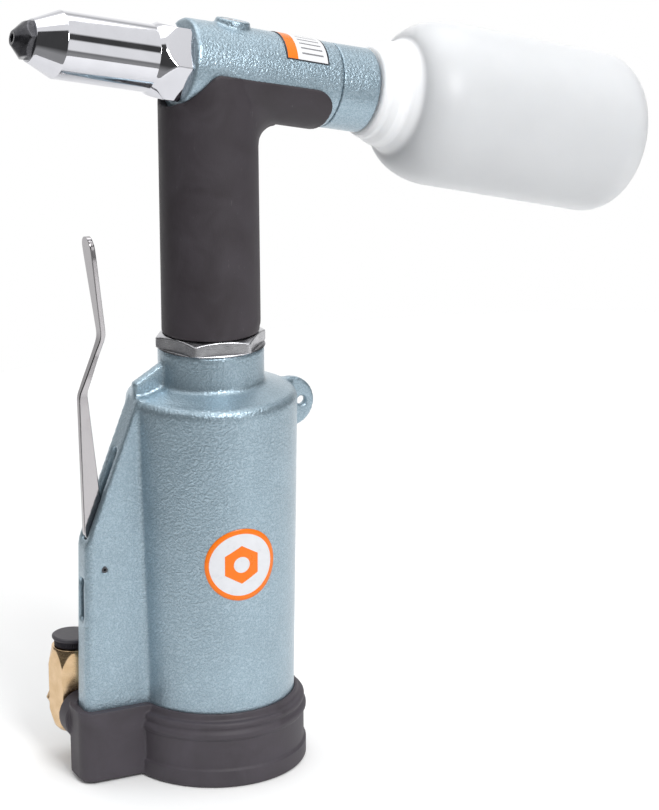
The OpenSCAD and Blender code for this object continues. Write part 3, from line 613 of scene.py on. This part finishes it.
def label_film():
    """Rectangular label: an orange band, a white field with grey bars, and a dark border."""
    # Shares of the label's length, then degrees round the head
    band_end, edge, bars_start, bars_end, ink_share = 0.27, 0.035, 0.38, 0.88, 0.3
    bar_pitch, edge_turn, bars_margin = 9.0, 1.6, 8
    material, tree, shader = start_material(
        "label_film", Coat_Weight=0.1, Coat_Roughness=0.2, Specular_IOR_Level=0.3,
    )
    where = place_of(tree)
    from_head = vector_node(tree, "SUBTRACT", where, (0, 0, HEAD_Z * MM)).outputs["Vector"]

    def along(axis):
        """Distance along a direction, in millimetres."""
        reach = vector_node(tree, "DOT_PRODUCT", from_head, tuple(axis)).outputs["Value"]
        return math_node(tree, "DIVIDE", reach, MM)

    def where_all(*tests):
        """1 where every (operation, value, limit) test holds."""
        return chain(tree, "MULTIPLY", *(math_node(tree, *test) for test in tests))
    s = along(HEAD.col[2].xyz)
    up = along(-HEAD.col[0].xyz)
    side = along(-HEAD.col[1].xyz)
    turn = math_node(tree, "MULTIPLY", math_node(tree, "ARCTAN2", side, up), 180 / math.pi)
    past_start = math_node(tree, "SUBTRACT", s, LABEL_START)
    share = math_node(tree, "DIVIDE", past_start, LABEL_END - LABEL_START)
    band = math_node(tree, "LESS_THAN", share, band_end)
    border = chain(
        tree, "MAXIMUM", math_node(tree, "LESS_THAN", share, edge),
        math_node(tree, "GREATER_THAN", turn, LABEL_NEAR - edge_turn),
        math_node(tree, "GREATER_THAN", share, 1 - edge),
    )
    rows = math_node(tree, "FRACT", math_node(tree, "DIVIDE", turn, bar_pitch))
    bars = where_all(
        ("LESS_THAN", rows, ink_share), ("GREATER_THAN", share, bars_start),
        ("LESS_THAN", share, bars_end), ("LESS_THAN", turn, LABEL_NEAR - bars_margin),
    )
    ink = math_node(tree, "MULTIPLY", bars, 0.85)
    field = blend_colour(tree, band, (0.66, 0.665, 0.68), ORANGE)
    field = blend_colour(tree, ink, field, (0.1, 0.1, 0.11))
    field = blend_colour(tree, border, field, (0.03, 0.03, 0.035))
    print_film(tree, shader, field, where)
    return material


def floor_material():
    """Pale matt tabletop."""
    material, tree, shader = start_material("pale_floor", Roughness=0.75, Specular_IOR_Level=0.2)
    cloud = noise(tree, place_of(tree), 90, detail=2.0)
    link(tree, vary(tree, cloud, grey(0.9), grey(0.92)), shader, "Base Color")
    return material


def paint_with(piece, material):
    """Gives a piece one material."""
    piece.data.materials.clear()
    piece.data.materials.append(material)


# ---------------------------------------------------------------- turned pieces

def nose_sleeve():
    """Plated sleeve: a cone at the tip, a plain barrel, and a hexagon for a spanner at the back."""
    tip, back = -76.6, -13.0
    mouth, bore, pocket, barrel, shoulder = 4.5, 9.4, 11.6, 13.5, 17.2
    profile = soften([
        (mouth, tip, 0.3), (8.45, tip, 0.45), (barrel, -65.5, 0.7), (barrel, -26.4, 0.25),
        (shoulder, -19.0, 0.2), (shoulder, -13.9, 0.2), (16.2, back, 0.2), (pocket, back, 0),
        (pocket, -24.2, 0), (bore, -24.2, 0), (bore, -66.0, 0), (mouth, -71.0, 0),
    ])
    trim = hexed(flat=14.5, corner=30, from_z=-27.5, to_z=-12.9, sharpness=320)
    bm = turned_bmesh(spread(profile, longest=0.9), HEAD, segments=288, shape=trim)
    return new_object("nose_sleeve_plated", bm, "tool_body", "nose_sleeve")


def nosepiece():
    """Blackened tip: a hexagon with a cone in front, and a stem that goes into the sleeve."""
    tip, seat, end = -83.5, -76.65, -61.0
    hole, stem, neck, shoulder = 1.65, 4.45, 3.2, 8.5
    profile = soften([
        (hole, tip, 0.25), (3.0, tip, 0.3), (shoulder, -78.1, 0.2), (shoulder, seat, 0.1),
        (stem, seat, 0), (stem, -68.5, 0), (neck, -67.0, 0), (neck, -62.0, 0), (2.2, end, 0),
        (hole, end, 0),
    ])
    trim = hexed(flat=7.0, corner=12, from_z=-83.6, to_z=-76.6, sharpness=220)
    bm = turned_bmesh(spread(profile, longest=0.5), HEAD, segments=240, shape=trim)
    return new_object("nosepiece_black", bm, "tool_body", "nosepiece")


def lock_nut():
    """Thin hexagon nut, chamfered most at the top."""
    low, high = 181.02, 186.58
    bore, corner = 16.55, 23.6
    profile = soften([
        (bore, low, 0), (22.4, low, 0.15), (corner, 181.5, 0.1), (corner, 185.1, 0.1),
        (20.0, high, 0.25), (bore, high, 0),
    ])
    trim = hexed(flat=20.1, corner=-10, from_z=low + 0.01, to_z=high - 0.01, sharpness=110)
    bm = turned_bmesh(spread(profile, longest=0.5), UPRIGHT, segments=240, shape=trim)
    return new_object("lock_nut_plated", bm, "tool_body", "lock_nut")


def rear_cap():
    """Painted cap, with a spigot behind it that holds the bottle's seal in a groove."""
    inside, rim, end = 45, 70, 80
    bore, plug, cap, spigot, groove = 4.06, 14.45, 17.3, 13.4, 12.4
    profile = soften([
        (bore, inside, 0), (plug, inside, 0), (plug, 53.02, 0), (17.0, 53.02, 0.1), (cap, 53.4, 0.25),
        (cap, rim, 1.2), (spigot, rim, 0), (spigot, 74, 0), (groove, 74, 0), (groove, 76, 0),
        (spigot, 76, 0), (spigot, end, 0.8), (bore, end, 0.3),
    ])
    bm = turned_bmesh(spread(profile, longest=1.5), HEAD)
    return new_object("rear_cap_painted", bm, "tool_body", "rear_cap")


def collector_bottle():
    """Thin blown shell: soft rings on the neck, round shoulder, straight body, round end."""
    body, end, wall = 34.1, 196.7, 1.4
    mouth, neck_end, neck_bore = 70.95, 87, 14.35
    wide, long, full = 12, 21, 107

    def shoulder(inset):
        """Points of the quarter round from the neck to the body."""
        turns = [math.radians(a) for a in range(10, 91, 5)]
        return [
            (body - wide - inset + wide * math.sin(a), full - long * math.cos(a), 0) for a in turns
        ]
    outer = [
        (17.7, mouth, 0.3), (18.5, 71.3, 0.8), (19.4, 73.0, 1.6), (19.25, 75.2, 1.4),
        (21.05, 77.6, 1.6), (21.75, 79.8, 2.2), (21.5, 82.3, 1.0), (22.4, 83.4, 0.8),
        *shoulder(0), (body, end, 15), (0, end, 0),
    ]
    inner = [
        (0, end - wall, 0), (body - wall, end - wall, 13.6),
        *((r, s, 0) for r, s, _ in reversed(shoulder(wall)) if s > neck_end),
        (neck_bore, neck_end, 0.5), (neck_bore, mouth, 0.3),
    ]
    profile = soften(outer + inner, steps=10)
    bm = turned_bmesh(spread(profile, longest=2.5), BOTTLE)
    return new_object("collector_bottle_blown", bm, "bottle", "collector_bottle")


def inlet_swivel():
    """Hexagonal bar with long conical ends; the bore for the cap is open at the top."""
    low, high = 14, 51
    bore, bottom, waist = 5.7, high - 16, 10.6
    profile = soften([
        (bore, high, 0.3), (8.75, high, 0.35), (waist, high - 9.6, 0), (waist, low + 9, 0),
        (8.6, low + 1.6, 1.5), (7.2, low, 0.4), (0, low, 0), (0, bottom, 0), (bore, bottom, 0),
    ])
    trim = hexed(flat=9.0, corner=-17.5, from_z=low + 0.1, to_z=high - 0.1, sharpness=320)
    bm = turned_bmesh(spread(profile, longest=0.7), inlet_matrix(), segments=288, shape=trim)
    return new_object("inlet_swivel_brass", bm, "inlet", "inlet_swivel")


def dust_cap():
    """Pressed-in plastic cap with a finely ridged skirt under a plain top."""
    low, top = 44.2, 55.8
    plug, skirt, skirt_low, skirt_high = 5.5, 7.3, 51.2, 54.0
    ridges, ridge = 64, 0.4

    def knurl(r, z, angle):
        """Waves the skirt's outside in and out."""
        on_skirt = skirt - 0.1 < r < skirt + 0.2 and skirt_low + 0.1 < z < skirt_high - 0.05
        return r + ridge * math.cos(ridges * angle) if on_skirt else r
    profile = soften([
        (0, low, 0), (5.3, low, 0.3), (plug, 45.2, 0.2), (plug, skirt_low, 0), (skirt, skirt_low, 0.15),
        (skirt, skirt_high, 0), (8.2, 54.1, 0.1), (8.6, 54.5, 0.2), (8.6, 55.3, 0.35),
        (7.8, top, 0.5), (0, top, 0),
    ])
    bm = turned_bmesh(spread(profile, longest=0.6), inlet_matrix(), segments=448, shape=knurl)
    return new_object("dust_cap_moulded", bm, "dust_cap_body", "dust_cap")


# ---------------------------------------------------------------- films

def cylinder_sticker():
    """A round film bent onto the tapered wall."""
    rings, around = 12, 96
    under, over, bevel = 0.03, 0.19, 0.05
    bm = bmesh.new()

    def on_wall(r, turn, lift):
        """A point of the disc, r from its middle, lifted off the wall."""
        z = STICKER_Z + r * math.sin(turn)
        wall = wall_radius(z) + lift
        angle = STICKER_FACING + r * math.cos(turn) / wall
        return bm.verts.new((wall * math.cos(angle), wall * math.sin(angle), z))
    rims = []
    for lift in (under, over):
        centre = on_wall(0, 0, lift)
        reaches = [STICKER_R * i / rings for i in range(1, rings + 1)]
        if lift == over:
            reaches[-1] -= bevel
        grid = [[on_wall(r, 2 * math.pi * k / around, lift) for k in range(around)] for r in reaches]
        for k in range(around):
            bm.faces.new([centre, grid[0][k], grid[0][(k + 1) % around]])
        for inner, outer in zip(grid, grid[1:]):
            bridge(bm, inner, outer)
        rims.append(grid[-1])
    bridge(bm, *rims)
    return new_object("round_sticker", bm, "tool_body", "cylinder_sticker")


def head_label():
    """A film bent round the head, from past its top down the near side."""
    steps, rows = 60, 24
    under, over = 0.1, 0.23
    bm = bmesh.new()
    rims = []
    for lift in (under, over):
        grid = []
        for i in range(rows + 1):
            s = LABEL_START + (LABEL_END - LABEL_START) * i / rows
            radius = head_radius(s) + lift
            line = []
            for k in range(steps + 1):
                angle = math.radians(180 + LABEL_FAR + (LABEL_NEAR - LABEL_FAR) * k / steps)
                spot = Vector((radius * math.cos(angle), radius * math.sin(angle), s))
                line.append(bm.verts.new(HEAD @ spot))
            grid.append(line)
        for one, two in zip(grid, grid[1:]):
            for k in range(steps):
                bm.faces.new([one[k], one[k + 1], two[k + 1], two[k]])
        near = [line[-1] for line in grid[:-1]]
        far = [line[0] for line in grid[:0:-1]]
        rims.append(grid[0][:-1] + near + grid[-1][:0:-1] + far)
    bridge(bm, *rims)
    return new_object("head_label_film", bm, "tool_body", "head_label")


# ---------------------------------------------------------------- sleeve and lever

def grip_inside():
    """What is melted into the sleeve: a lining behind its thin arm, and a rounded corner under it."""
    grip, arm = 20.1, 18.7
    rounding, half_width, slices, bends = 7.5, 16.5, 34, 8
    lining, sunk, lap = 0.972, 3, 0.5
    bm = bmesh.new()
    bm.from_mesh(frame["nodes"]["grip_sleeve"].data)
    head = Matrix.Scale(MM, 4) @ HEAD
    shrink = head @ Matrix.Diagonal((lining, lining, 1, 1)) @ head.inverted()
    bmesh.ops.transform(bm, matrix=shrink, verts=bm.verts)

    open_half = (math.pi / 2 - TILT) / 2
    along = Vector((math.cos(TILT), -math.sin(TILT)))
    down = Vector((0, -1))
    rows = []
    for i in range(slices + 1):
        y = -half_width + 2 * half_width * i / slices
        x = math.sqrt(grip * grip - y * y)
        drop = math.sqrt(arm * arm - y * y) / math.cos(TILT)
        corner = Vector((x, HEAD_Z - x * math.tan(TILT) - drop))
        radius = rounding * min(1, math.sqrt(1 - (y / (half_width + 1)) ** 2) + 0.25)
        centre = corner + (along + down).normalized() * radius / math.sin(open_half)
        span = radius / math.tan(open_half)
        start, end = corner + down * span - centre, corner + along * span - centre
        line = [corner + Vector((-sunk, sunk)), corner + down * (span + lap) + Vector((-sunk, 0))]
        line += [centre + arm for arm in arc(start, end, bends)]
        line.append(corner + along * (span + lap) + Vector((0, sunk)))
        rows.append([bm.verts.new((p.x * MM, y * MM, p.y * MM)) for p in line])
    loft(bm, rows)
    return bm


def trigger_lever():
    """A pressed bar lofted through rounded sections, with soft bends and a round pad end."""
    start, end = 88.4, 231.5
    bar, pad, rounding, step, narrowest = 1.5, 4.8, 0.4, 0.6, 0.02
    pad_start = end - pad
    # Each line has (height, value) points: the front face, the back face and half the width
    front = [
        (start, -52), (91, -54.7), (102.6, -54.7), (106.5, -57.7), (166, -58.6),
        (189, -49.2), (190.8, -49), (end, -53.9),
    ]
    back = [
        (start, -40.8), (91.5, -40.8), (96, -43.2), (99, -48.4), (126.9, -50.9), (167.4, -55),
        (189.6, -47), (191.6, -46.9), (end, -51.9),
    ]
    half = [(start, bar), (168, bar), (172, 1.8), (184, 1.9), (190.5, 2.6), (224, pad), (end, pad)]

    def blurred(points, z):
        """The value at a height, averaged a little up and down so that bends are soft."""
        return sum(value_at(points, z + d) for d in (-1.6, -0.8, 0, 0.8, 1.6)) / 5
    heights = [start + step * k for k in range(int((pad_start - start) / step))]
    heights += [pad_start + pad * math.sin(math.radians(a)) for a in range(0, 88, 4)] + [end - 0.01]
    bm = bmesh.new()
    sections = []
    for z in heights:
        x0, x1 = blurred(front, z), blurred(back, z)
        wide = blurred(half, z)
        if z > pad_start:
            wide = math.sqrt(max(pad ** 2 - (z - pad_start) ** 2, narrowest))
        edge = min(rounding, wide * 0.6, (x1 - x0) * 0.4)
        corners = ((x1 - edge, wide - edge), (x0 + edge, wide - edge),
                   (x0 + edge, edge - wide), (x1 - edge, edge - wide))
        section = []
        for quarter, (cx, cy) in enumerate(corners):
            for k in range(5):
                a = math.radians(90 * quarter + 22.5 * k)
                section.append(bm.verts.new((cx + edge * math.cos(a), cy + edge * math.sin(a), z)))
        sections.append(section)
    loft(bm, sections)
    piece = new_object("trigger_lever_plated", bm, "trigger", "trigger_lever")
    drill_pin_hole(piece)
    shade(piece, 9)
    return piece


def drill_pin_hole(lever):
    """Cuts the pin's hole through the lever, on the joint's axis."""
    pivot = next(j for j in frame["record"]["behaviour"]["joints"] if j["name"] == "trigger_pivot")
    bpy.ops.mesh.primitive_cylinder_add(
        vertices=48, radius=1.58 * MM, depth=20 * MM, location=pivot["pos_m"],
        rotation=(math.pi / 2, 0, 0),
    )
    cutter = bpy.context.object
    hole = lever.modifiers.new("hole", "BOOLEAN")
    hole.operation = "DIFFERENCE"
    hole.object = cutter
    apply_modifiers(lever)
    bpy.data.objects.remove(cutter)


# ---------------------------------------------------------------- assembly

def coil_springs():
    """Copies of the coil springs that the joints list as deforming, each riding on its body."""
    made = {}
    behaviour = frame["record"]["behaviour"]
    for joint in behaviour["joints"]:
        for note in joint.get("deforming_nodes", []):
            node = note["node"]
            body = next(b for b, held in behaviour["bodies"].items() if node in held)
            piece = copy_node(node, node + "_coiled", body)
            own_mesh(piece)
            piece.data.shade_smooth()
            made[node] = piece
    return made


def build_pieces():
    """Every piece that stands for a CAD node, by node."""
    # name, slot, voxel size, rounds of smoothing and share of faces kept
    shells = {
        "air_cylinder": ("air_cylinder_coated", "casting_paint", 0.75, 7, 0.45),
        "head_housing": ("head_coated", "casting_paint", 0.6, 6, 0.45),
        "base_boot": ("base_boot_moulded", "boot_rubber", 0.45, 1, 0.35),
        "grip_sleeve": ("grip_sleeve_moulded", "grip_rubber", 0.45, 12, 0.3),
    }
    made = {}
    for node, (name, slot, voxel, rounds, keep) in shells.items():
        extra = grip_inside() if node == "grip_sleeve" else None
        made[node] = soft_copy(node, name, "tool_body", voxel, rounds, keep, extra)
    makers = (trigger_lever, nose_sleeve, nosepiece, lock_nut, rear_cap, collector_bottle,
              inlet_swivel, dust_cap, cylinder_sticker, head_label)
    for make in makers:
        made[make.__name__] = make()
    made["swivel_bolt"] = bevelled_copy("swivel_bolt", "swivel_bolt_turned", "tool_body", 0.25)
    made["oil_plug"] = bevelled_copy("oil_plug", "oil_plug_turned", "tool_body", 0.15)
    made.update(coil_springs())
    return made


def finish_surfaces(made):
    """Gives every piece, and every CAD node that stays in view, its material."""
    black = black_oxide()
    by_slot = {
        "casting_paint": hammertone(),
        "boot_rubber": rubber("boot_rubber", (0.04, 0.034, 0.041), (0.062, 0.054, 0.066), 0.9, 0.2),
        "grip_rubber": rubber("grip_rubber", (0.027, 0.0215, 0.026), (0.043, 0.0365, 0.044), 0.6, 0.6),
        "nose_chrome": chrome("bright_plate", 0.62, 0.045, (0.97, 0.975, 1.03)),
        "lever_chrome": chrome("lever_plate", 0.42, 0.1, (1.0, 0.965, 0.99)),
        "black_steel": black,
        "steel": machined("turned_steel", (0.42, 0.42, 0.44), (0.58, 0.58, 0.6), 0.24),
        "brass": machined("turned_brass", (0.56, 0.39, 0.22), (0.66, 0.48, 0.3), 0.13),
        "aluminium": machined("turned_aluminium", (0.66, 0.67, 0.69), (0.78, 0.79, 0.81), 0.3),
        "copper": machined("soft_copper", (0.6, 0.28, 0.15), (0.74, 0.4, 0.24), 0.34),
        "bottle_plastic": milky_plastic(),
        "cap_plastic": cap_plastic(),
        "seal_rubber": seal_rubber(),
        "sticker_film": sticker_film(),
        "label_film": label_film(),
    }
    spring_steel = machined("spring_steel", (0.3, 0.3, 0.32), (0.45, 0.45, 0.47), 0.3)
    nut_steel = machined("nut_steel", (0.4, 0.4, 0.42), (0.56, 0.56, 0.58), 0.22)
    own = {"lock_nut": nut_steel, "trigger_pin": black}
    slots = {part["node"]: part["material_slot"] for part in frame["record"]["subparts"]}
    for node, thing in frame["nodes"].items():
        material = spring_steel if node.endswith("_spring") else own.get(node, by_slot[slots[node]])
        paint_with(made.get(node, thing), material)
        if node not in made:
            shade(thing, 32)


# ---------------------------------------------------------------- studio

def make_floor():
    """A round pale table; past its edge there is only the pale room."""
    bpy.ops.mesh.primitive_circle_add(
        vertices=180, radius=0.6, fill_type="NGON", location=(0.28, 0.02, 0),
    )
    floor = bpy.context.object
    floor.name = "floor"
    paint_with(floor, floor_material())


def direction(azimuth, elevation):
    """Unit vector towards a place in the room, in degrees."""
    az, el = math.radians(azimuth), math.radians(elevation)
    return (math.cos(el) * math.cos(az), math.cos(el) * math.sin(az), math.sin(el))


def make_world():
    """Soft even room light; polished metal also mirrors the room's brighter and darker sides."""
    world = bpy.data.worlds.new("studio")
    bpy.context.scene.world = world
    world.use_nodes = True
    tree = world.node_tree
    background = tree.nodes["Background"]
    where = tree.nodes.new("ShaderNodeTexCoord").outputs["Generated"]

    def towards(azimuth, elevation, start, full):
        """0 to 1 as a ray turns towards a place; start and full are cosines of the angle between."""
        near = vector_node(tree, "DOT_PRODUCT", where, direction(azimuth, elevation))
        return vary(tree, near.outputs["Value"], grey(0), grey(1), start, full)
    floor_side = (0, -90, 0.05, 0.35, 0.38)
    back_wall = (76, 0, 0.6, 0.9, 1.15)
    side_lamp = (-65, 5, 0.95, 0.972, 1.15)
    ceiling = (0, 90, 0.58, 0.64, 1.12)
    dark_side = (-112, 38, 0.925, 0.945, 0.07)
    mirrored = grey(0.07)
    for *place, level in (floor_side, back_wall, side_lamp, ceiling, dark_side):
        mirrored = blend_colour(tree, towards(*place), mirrored, grey(level))
    even = blend_colour(tree, towards(0, 90, 0.1, 0.7), grey(0.44), grey(0.86))
    path = tree.nodes.new("ShaderNodeLightPath")
    room = blend_colour(tree, path.outputs["Is Glossy Ray"], even, mirrored)
    room = blend_colour(tree, path.outputs["Is Camera Ray"], room, grey(1.0))
    tree.links.new(room, background.inputs["Color"])
    background.inputs["Strength"].default_value = 1.0


def area_light(name, place, aim, size, power):
    """A square light that faces a point."""
    data = bpy.data.lights.new(name, "AREA")
    data.size = size
    data.energy = power
    light = bpy.data.objects.new(name, data)
    bpy.context.scene.collection.objects.link(light)
    look_from(light, place, aim)


def look_from(thing, place, aim):
    """Puts a light or a camera at a place, facing a point."""
    thing.location = place
    thing.rotation_mode = "QUATERNION"
    thing.rotation_quaternion = (Vector(aim) - thing.location).to_track_quat("-Z", "Y")


def make_lights():
    """A key light in front of the tool, and a large weak one overhead and behind."""
    middle = Vector((0.03, 0, 0.18))
    key_distance = 1.3
    key_place = middle + Vector(direction(-88, 40)) * key_distance
    area_light("key", key_place, middle, 0.45, 11)
    area_light("overhead", (0.15, 0.35, 1.5), (0.12, 0.25, 0), 1.2, 7)


def make_camera():
    """The camera: in front of the tool, a little towards its nose and above it."""
    data = bpy.data.cameras.new("camera")
    data.lens = 124.26
    data.clip_start, data.clip_end = 0.05, 30
    camera = bpy.data.objects.new("camera", data)
    bpy.context.scene.collection.objects.link(camera)
    look_from(camera, (-0.4405, -1.0141, 0.4851), (0.0425, -0.0238, 0.1556))
    bpy.context.scene.camera = camera


make_camera()
finish_surfaces(build_pieces())
make_floor()
make_world()
make_lights()
bpy.context.scene.view_settings.view_transform = "Standard"
